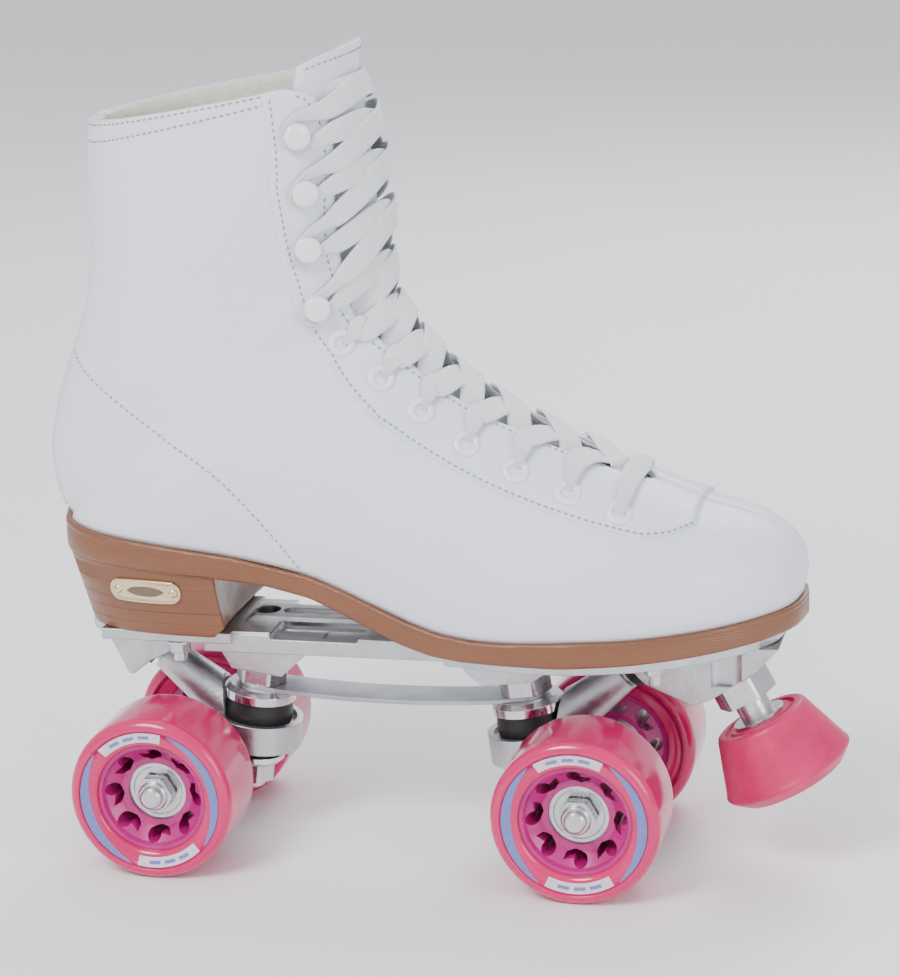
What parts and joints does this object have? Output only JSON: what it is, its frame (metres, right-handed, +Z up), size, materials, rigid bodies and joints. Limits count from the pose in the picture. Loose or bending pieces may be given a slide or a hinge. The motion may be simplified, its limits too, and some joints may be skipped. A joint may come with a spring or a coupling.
{
  "type": "quad roller skate",
  "caption": "Right-foot quad roller skate: laced high boot, cast plate, two cushioned steering trucks with wheel pairs, and a screw-adjusted toe stop.",
  "frame": {"origin": "on the floor plane, below the middle of the bounding box; Y is zero midway between the two wheels of a pair", "axes": "+X towards the toe, +Y towards the inner side of the foot, +Z up"},
  "size_m": [0.2972, 0.1126, 0.2989],
  "materials": {
    "white_leather": "fine grained coated leather, half gloss",
    "stiffener_board": "pressed fibre board",
    "lining_felt": "brushed cream felt",
    "white_enamel": "gloss white enamel",
    "lace_cotton": "flat woven cotton",
    "footbed_foam": "foam faced with cloth",
    "brown_sole": "half gloss, fine lines along the edge",
    "badge_gold": "pale brushed brass",
    "cast_aluminium": "tumbled casting",
    "zinc_steel": "zinc plated",
    "chrome_cups": "bright",
    "grey_strap": "satin grey",
    "black_rubber": "moulded, satin",
    "pink_rubber": "moulded, satin",
    "pink_urethane": "cast polyurethane, gloss",
    "magenta_nylon": "moulded nylon",
    "bearing_steel": "polished shields"
  },
  "bodies": {
    "boot_and_plate": {"upper_lateral": "white_leather", "upper_medial": "white_leather", "facing_lateral": "white_leather", "facing_medial": "white_leather", "backstay": "white_leather", "heel_stiffener": "stiffener_board", "lining_lateral": "lining_felt", "lining_medial": "lining_felt", "tongue": "white_leather", "eyelets": "white_enamel", "lace_hooks": "white_enamel", "laces": "lace_cotton", "footbed": "footbed_foam", "lasting_board": "stiffener_board", "outsole": "brown_sole", "heel_block": "brown_sole", "badge": "badge_gold", "badge_rivets": "badge_gold", "plate": "cast_aluminium", "mounting_bolts": "zinc_steel", "mounting_nuts": "zinc_steel", "kingpins": "zinc_steel", "jam_nuts": "zinc_steel", "upper_cups": "chrome_cups", "tie_strap": "grey_strap", "upper_cushion_front": "black_rubber", "upper_cushion_rear": "black_rubber", "lower_cushion_front": "black_rubber", "lower_cushion_rear": "black_rubber", "lower_cups": "chrome_cups", "kingpin_nuts": "zinc_steel", "pivot_cups": "black_rubber", "toe_stop_nut": "zinc_steel"},
    "toe_stop_height": {"toe_stop_washer": "zinc_steel"},
    "toe_stop": {"toe_stop_rubber": "pink_rubber", "toe_stop_stem": "zinc_steel"},
    "truck_front": {"hanger_front": "cast_aluminium", "axle_front": "zinc_steel", "axle_nuts_front": "zinc_steel", "axle_washers_front": "zinc_steel", "bearing_inners_front": "bearing_steel"},
    "truck_rear": {"hanger_rear": "cast_aluminium", "axle_rear": "zinc_steel", "axle_nuts_rear": "zinc_steel", "axle_washers_rear": "zinc_steel", "bearing_inners_rear": "bearing_steel"},
    "wheel_front_lateral": {"tyre_front_lateral": "pink_urethane", "core_front_lateral": "magenta_nylon", "bearings_front_lateral": "bearing_steel"},
    "wheel_front_medial": {"tyre_front_medial": "pink_urethane", "core_front_medial": "magenta_nylon", "bearings_front_medial": "bearing_steel"},
    "wheel_rear_lateral": {"tyre_rear_lateral": "pink_urethane", "core_rear_lateral": "magenta_nylon", "bearings_rear_lateral": "bearing_steel"},
    "wheel_rear_medial": {"tyre_rear_medial": "pink_urethane", "core_rear_medial": "magenta_nylon", "bearings_rear_medial": "bearing_steel"}
  },
  "joints": [
    {"name": "truck_front_steer", "type": "hinge", "parent": "boot_and_plate", "child": "truck_front", "pos_m": [0.03266, 0, 0.041], "axis": [0.7784, 0, 0.6278], "range_deg": [-8, 8], "stiffness_Nm_per_rad": 14, "deforming": ["upper_cushion_front", "lower_cushion_front"]},
    {"name": "truck_rear_steer", "type": "hinge", "parent": "boot_and_plate", "child": "truck_rear", "pos_m": [-0.07454, 0, 0.041], "axis": [-0.7784, 0, 0.6278], "range_deg": [-8, 8], "stiffness_Nm_per_rad": 14, "deforming": ["upper_cushion_rear", "lower_cushion_rear"]},
    {"name": "wheel_front_lateral_spin", "type": "hinge", "parent": "truck_front", "child": "wheel_front_lateral", "pos_m": [0.05776, -0.0398, 0.0308], "axis": [0, 1, 0], "continuous": true},
    {"name": "wheel_front_medial_spin", "type": "hinge", "parent": "truck_front", "child": "wheel_front_medial", "pos_m": [0.05776, 0.0398, 0.0308], "axis": [0, 1, 0], "continuous": true},
    {"name": "wheel_rear_lateral_spin", "type": "hinge", "parent": "truck_rear", "child": "wheel_rear_lateral", "pos_m": [-0.09964, -0.0398, 0.0308], "axis": [0, 1, 0], "continuous": true},
    {"name": "wheel_rear_medial_spin", "type": "hinge", "parent": "truck_rear", "child": "wheel_rear_medial", "pos_m": [-0.09964, 0.0398, 0.0308], "axis": [0, 1, 0], "continuous": true},
    {"name": "toe_stop_travel", "type": "slide", "parent": "boot_and_plate", "child": "toe_stop_height", "axis": [0.4695, 0, -0.8829], "range_m": [-0.004, 0.005]},
    {"name": "toe_stop_screw", "type": "hinge", "parent": "toe_stop_height", "child": "toe_stop", "pos_m": [0.11636, 0, 0.0542], "axis": [0.4695, 0, -0.8829], "range_deg": [-720, 900]}
  ],
  "couplings": [
    {"joint": "toe_stop_travel", "follows": "toe_stop_screw", "m_per_rad": 0.00031831}
  ]
}
